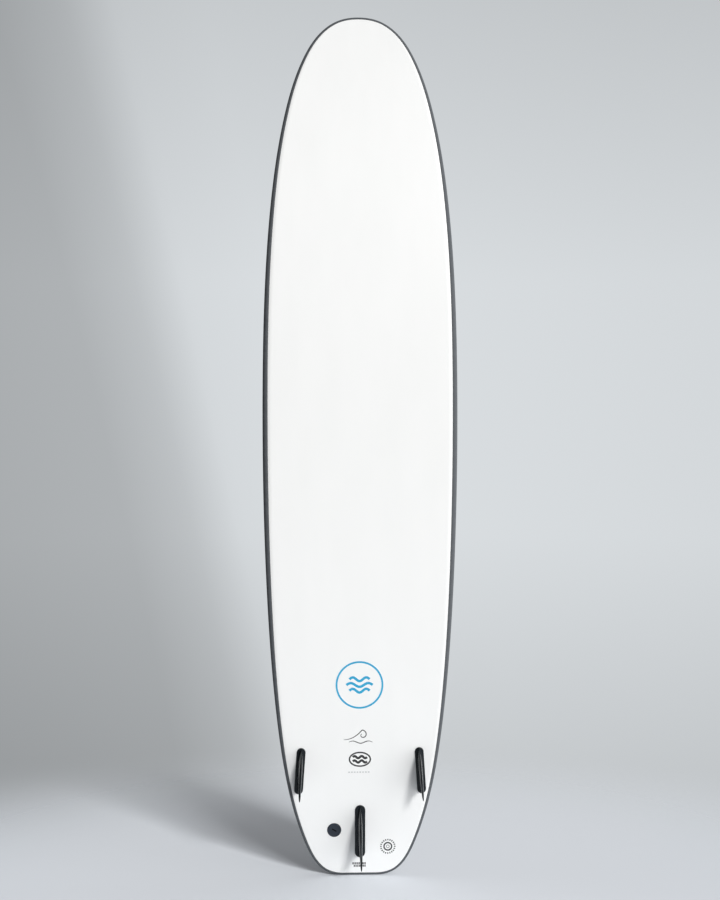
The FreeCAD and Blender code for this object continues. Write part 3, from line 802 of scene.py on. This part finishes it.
MATERIALS = {
    "bottom_slick": slick_white(),
    "rail_foam": foam("rail_charcoal", (0.088, 0.096, 0.106), (0.115, 0.125, 0.137)),
    "deck_foam": foam("deck_slate", (0.135, 0.146, 0.160), (0.172, 0.184, 0.200), emboss=True),
    "backing_foam": bead_foam("backing_foam", (0.72, 0.72, 0.72), (0.86, 0.86, 0.86), scale=900),
    "laminate": glass_mesh(),
    "core_foam": bead_foam("core_foam", (0.70, 0.71, 0.72), (0.90, 0.90, 0.90), scale=260),
    "stringer_wood": wood(),
    "fin_plastic": moulded("fin_black", (0.0035, 0.0050, 0.0065), (0.0065, 0.0085, 0.011),
                           (0.20, 0.30), grain=1500, streaks=0.0002),
    "cup_plastic": moulded("cup_black", (0.014, 0.015, 0.017), (0.022, 0.023, 0.026), (0.40, 0.55)),
    "leash_plastic": moulded("leash_slate", (0.022, 0.027, 0.038), (0.030, 0.037, 0.051),
                             (0.38, 0.52)),
    "insert_brass": metal("insert_brass", (0.52, 0.36, 0.13), (0.68, 0.50, 0.22), (0.22, 0.38),
                          stretch=(1, 1, 1)),
    "screw_steel": metal("screw_steel", (0.50, 0.51, 0.52), (0.64, 0.65, 0.66), (0.22, 0.36),
                         stretch=(1, 4, 1)),
}
# Near-black material that paints the shade in the leash disc's slot
LEASH_SLOT_SHADE = moulded("leash_slot_painted_shade", (0.0010, 0.0012, 0.0016), (0.0030, 0.0035, 0.0045),
                          (0.75, 0.90))
INK_CYAN = ink("ink_cyan", (0.010, 0.340, 0.590), (0.016, 0.400, 0.680))
INK_BLACK = ink("ink_black", (0.014, 0.014, 0.016), (0.035, 0.035, 0.038))
INK_GREY = ink("ink_grey", (0.42, 0.44, 0.45), (0.52, 0.53, 0.54))
INK_DARK_GREY = ink("ink_dark_grey", (0.024, 0.026, 0.029), (0.050, 0.053, 0.058))


def finish_cad_nodes():
    """Every node that stays visible gets its slot's procedural material."""
    slots = {part["node"]: part["material_slot"] for part in frame["record"]["subparts"]}
    for name, cad in frame["nodes"].items():
        made = MATERIALS[slots[name]]
        if not cad.material_slots:
            cad.data.materials.append(made)
        for place in cad.material_slots:
            place.material = made


# ---------------------------------------------------------------- build

def add(piece, body, node_name, slot_name):
    piece.data.materials.clear()
    piece.data.materials.append(MATERIALS[slot_name])
    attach(piece, body)
    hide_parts(node_name)
    return piece


def build_board():
    bottom = sheet_piece("slick_bottom", lambda z: along_length(BAND_WIDTH, z) + SEAM_GAP,
                         lambda x, z: bottom_y(z), 1, BOTTOM_SKIN_T, BOTTOM_SEAM_ROUND)
    disc_room = lathe("disc_room", [(LEASH_DISC_R + HOLE_GAP, y) for y in DISC_ROOM],
                      seat_matrix(LEASH_X, LEASH_Z), count=96)
    cut_away(bottom, [pocket_cutter(fin, side) for _, fin, side in fin_places()] + [disc_room])
    sharp_by_angle(bottom, degrees=40)
    add(bottom, "board", "bottom_skin", "bottom_slick")

    deck = sheet_piece("deck_foam", lambda z: along_length(DECK_LAP, z) + SEAM_GAP, deck_y, -1,
                       DECK_SKIN_T, DECK_SEAM_ROUND)
    cut_away(deck, deck_cutters())
    sharp_by_angle(deck, degrees=40)
    add(deck, "board", "deck_skin", "deck_foam")

    for name, side in (("port", 1), ("starboard", -1)):
        rail = rail_piece(name + "_rail_foam", side)
        sharp_by_angle(rail, degrees=50)
        add(rail, "board", "rail_band_" + name, "rail_foam")


def build_fins():
    for name, fin, side in fin_places():
        fin_name = name + "_fin"
        add(fin_piece(name + "_moulded_fin", fin, side), fin_name, fin_name, "fin_plastic")


def build_leash_disc():
    """The disc, with painted shade on the walls and floor of its slot."""
    disc = leash_disc_piece("leash_screw_disc")
    add(disc, "board", "leash_disc", "leash_plastic")
    disc.data.materials.append(LEASH_SLOT_SHADE)
    to_seat = seat_matrix(LEASH_X, LEASH_Z).inverted()
    low = LEASH_DISC_SUNK - LEASH_DISC_T
    _, depth, length = LEASH_SLOT
    # Faces in the slot take the dark material, which paints the slot's shade
    for polygon in disc.data.polygons:
        middle = to_seat @ polygon.center
        in_slot = math.hypot(middle.x, middle.z) < length / 2 + SLOT_SHADE_REACH
        if in_slot and low + SLOT_SHADE_FROM < middle.y < low + depth + SLOT_SHADE_PAST:
            polygon.material_index = 1


def build_ring():
    x, z = RING_AT
    ribbons = [ribbon(loop_path(x, z, RING_R, RING_R, count=128), RING_LINE, True)]
    for row, length in RING_SWELLS:
        path = swell_path(x, z + row, length, RING_SWELL_HEIGHT, RING_SWELL_WAVES)
        ribbons.append(ribbon(path, RING_SWELL_LINE))
    print_piece("print_ring", ribbons, INK_CYAN)


def build_wave():
    """A breaking wave in one pen stroke, and a swell under it."""
    def pen(share):
        return PEN_THIN + PEN_MORE * math.sin(math.pi * share) ** PEN_POWER

    x, z = WAVE_AT
    crest = []
    for i in range(RISE_STEPS + 1):
        share = i / RISE_STEPS
        crest.append((x + RISE_START[0] + RISE_RUN * share,
                      z + RISE_START[1] + RISE_HEIGHT * share ** RISE_POWER))
    for i in range(1, CURL_STEPS + 1):
        angle = math.radians(CURL_FROM - CURL_TURN * i / CURL_STEPS)
        radius = CURL_R - CURL_SHRINK * i / CURL_STEPS
        crest.append((x + CURL_AT[0] + radius * math.cos(angle),
                      z + CURL_AT[1] + radius * math.sin(angle)))
    under = []
    for i in range(UNDER_STEPS + 1):
        share = i / UNDER_STEPS
        under.append((x + UNDER_START[0] + UNDER_RUN * share,
                      z + UNDER_START[1] + UNDER_HEIGHT * math.sin(3 * math.pi * share)))
    print_piece("print_wave", [ribbon(crest, pen), ribbon(under, pen)], INK_BLACK)


def build_oval():
    x, z = OVAL_AT
    ribbons = [ribbon(loop_path(x, z, *OVAL_SIZE), OVAL_LINE, True)]
    for row in (OVAL_SWELL_RISE, -OVAL_SWELL_RISE):
        ribbons.append(ribbon(swell_path(x, z + row, *OVAL_SWELL), OVAL_SWELL_LINE))
    print_piece("print_oval", ribbons, INK_BLACK)


def dash(x, z, half, tall):
    return ribbon([(x - half, z), (x + half, z)], tall)


def build_dashes():
    middle, z = DASHES_AT
    dashes = []
    for i in range(DASH_COUNT):
        x = middle - DASHES_HALF + 2 * DASHES_HALF * i / (DASH_COUNT - 1)
        dashes.append(dash(x, z, DASH_HALF, DASH_TALL))
    print_piece("print_dashes", dashes, INK_GREY)


def build_badge():
    x, z = BADGE_AT
    ribbons = [ribbon(loop_path(x, z, radius, radius, count), line, True)
               for radius, line, count in BADGE_RINGS]
    for i in range(TICK_COUNT):
        angle = 2 * math.pi * i / TICK_COUNT
        dx, dz = math.sin(angle), math.cos(angle)
        ribbons.append(ribbon([(x + reach * dx, z + reach * dz) for reach in (TICK_FROM, TICK_TO)],
                              TICK_LINE))
    print_piece("print_tick_ring", ribbons, INK_DARK_GREY)


def build_tail_rows():
    ribbons = []
    for middle, z, half, length, tall in TAIL_ROWS:
        count = round(2 * half / (length * TAIL_ROW_SPACING))
        for i in range(count):
            ribbons.append(dash(middle - half + 2 * half * i / (count - 1), z, length / 2, tall))
    print_piece("print_tail_rows", ribbons, INK_BLACK)


# ---------------------------------------------------------------- stage

def from_direction(tree, source):
    """A value from -1 to 1, such as a direction's X, as 0 to 1."""
    made = tree.nodes.new("ShaderNodeMapRange")
    made.inputs["From Min"].default_value = -1
    made.inputs["From Max"].default_value = 1
    tree.links.new(source, made.inputs["Value"])
    return made.outputs["Result"]


def multiply(tree, a, b):
    made = node(tree, "ShaderNodeMix", data_type="RGBA", blend_type="MULTIPLY")
    made.inputs[0].default_value = 1.0
    tree.links.new(a, made.inputs[6])
    if isinstance(b, tuple):
        made.inputs[7].default_value = b
    else:
        tree.links.new(b, made.inputs[7])
    return made.outputs[2]


def add_sun(name, toward, width, strength):
    """A far softbox in the given direction, as many degrees wide as width says."""
    light = bpy.data.lights.new(name, "SUN")
    light.color = LAMP_TONE
    light.angle = math.radians(width)
    light.energy = strength
    lamp = bpy.data.objects.new(name, light)
    bpy.context.scene.collection.objects.link(lamp)
    lamp.rotation_euler = Vector(toward).to_track_quat("Z", "Y").to_euler()
    return lamp


def build_floor():
    """Pale floor that fades out round the board."""
    turns = [2 * math.pi * i / 96 for i in range(96)]
    rings = [[Vector((r * math.cos(turn), r * math.sin(turn), 0)) for turn in turns]
             for r in FLOOR_RADII]
    vertices, faces = skin_rings(rings)
    floor = new_piece("floor", vertices, faces)
    made, tree, shader = material("pale_floor")
    shader.inputs["Base Color"].default_value = FLOOR_TONE
    shader.inputs["Roughness"].default_value = 0.85
    place = tree.nodes.new("ShaderNodeTexCoord")
    length = node(tree, "ShaderNodeVectorMath", operation="LENGTH")
    tree.links.new(place.outputs["Object"], length.inputs[0])
    fade = node(tree, "ShaderNodeMapRange", interpolation_type="SMOOTHSTEP")
    for socket, value in zip(("From Min", "From Max", "To Min", "To Max"), (*FLOOR_FADE, 1.0, 0.0)):
        fade.inputs[socket].default_value = value
    tree.links.new(length.outputs["Value"], fade.inputs["Value"])
    tree.links.new(fade.outputs["Result"], shader.inputs["Alpha"])
    floor.data.materials.append(made)
    return floor


def build_world():
    """A backdrop for the camera, and a softer glow of its own that lights the board."""
    world = bpy.data.worlds.new("studio")
    bpy.context.scene.world = world
    world.use_nodes = True
    tree = world.node_tree
    place = tree.nodes.new("ShaderNodeTexCoord")
    split = tree.nodes.new("ShaderNodeSeparateXYZ")
    tree.links.new(place.outputs["Generated"], split.inputs["Vector"])
    # The shaded side widens towards the floor, so the turn across the room leans with height.
    lean = node(tree, "ShaderNodeMath", operation="MULTIPLY_ADD")
    lean.inputs[1].default_value = WALL_LEAN
    tree.links.new(split.outputs["Z"], lean.inputs[0])
    tree.links.new(split.outputs["X"], lean.inputs[2])
    across = ramp(tree, from_direction(tree, lean.outputs[0]), [
        (0.0, 0.50), (0.36, 0.40), (0.43, 0.445), (0.452, 0.53), (0.47, 0.69), (0.50, 0.725),
        (0.55, 0.72), (0.64, 0.69), (1.0, 0.62)])
    height = ramp(tree, from_direction(tree, split.outputs["Z"]), [
        (0.39, 0.82), (0.47, 1.0), (0.56, 1.0), (0.66, 0.81), (1.0, 0.78)])
    wall = multiply(tree, multiply(tree, across, height), WALL_TINT)
    down = node(tree, "ShaderNodeMapRange", interpolation_type="SMOOTHSTEP")
    for socket, value in zip(("From Min", "From Max"), FAR_FLOOR_BAND):
        down.inputs[socket].default_value = value
    tree.links.new(split.outputs["Z"], down.inputs["Value"])
    backdrop = node(tree, "ShaderNodeMix", data_type="RGBA")
    backdrop.inputs[6].default_value = FAR_FLOOR_TONE
    tree.links.new(down.outputs["Result"], backdrop.inputs[0])
    tree.links.new(wall, backdrop.inputs[7])
    # Light on the board comes mostly from a wide soft source to port, and some off the floor.
    glow = ramp(tree, from_direction(tree, split.outputs["X"]), [
        (0.0, 0.05), (0.42, 0.05), (0.56, 0.31), (0.72, 0.70), (0.88, 1.0), (1.0, 1.0)])
    bounce = ramp(tree, from_direction(tree, split.outputs["Z"]), [
        (0.2, 1.0), (0.50, 0.88), (0.62, 0.80), (0.80, 0.55), (1.0, 0.40)])
    path = tree.nodes.new("ShaderNodeLightPath")
    seen = node(tree, "ShaderNodeMix", data_type="RGBA")
    tree.links.new(path.outputs["Is Camera Ray"], seen.inputs[0])
    light = multiply(tree, multiply(tree, glow, bounce), (*[GLOW_STRENGTH] * 3, 1))
    tree.links.new(light, seen.inputs[6])
    tree.links.new(backdrop.outputs[2], seen.inputs[7])
    tree.links.new(seen.outputs[2], tree.nodes["Background"].inputs["Color"])


def build_lights(floor):
    add_sun("key", toward=(0.42, -1, 0.50), width=12, strength=1.64)
    # The floor has a light of its own, so the board stands in a soft shadow that falls behind it.
    sweep = add_sun("sweep", toward=(3.0, -4.6, 2.4), width=9, strength=2.75)
    lit = bpy.data.collections.new("lit_by_sweep")
    lit.objects.link(floor)
    sweep.light_linking.receiver_collection = lit


def build_camera():
    """Level camera in front of the bottom, a little to starboard of square."""
    turn = math.radians(CAMERA_TURN)
    camera = bpy.data.cameras.new("camera")
    camera.sensor_width = SENSOR_MM
    camera.lens = LENS_MM
    eye = bpy.data.objects.new("camera", camera)
    bpy.context.scene.collection.objects.link(eye)
    eye.location = (CAMERA_SHIFT - CAMERA_DISTANCE * math.sin(turn),
                    BOTTOM_LOW_Y - CAMERA_DISTANCE * math.cos(turn), CAMERA_HEIGHT)
    eye.rotation_euler = (math.pi / 2, 0, -turn)
    bpy.context.scene.camera = eye


bpy.context.scene.view_settings.view_transform = "Standard"
finish_cad_nodes()
build_board()
build_fins()
build_leash_disc()
for build_print in (build_ring, build_wave, build_oval, build_dashes, build_badge, build_tail_rows):
    build_print()
stage_floor = build_floor()
build_world()
build_lights(stage_floor)
build_camera()
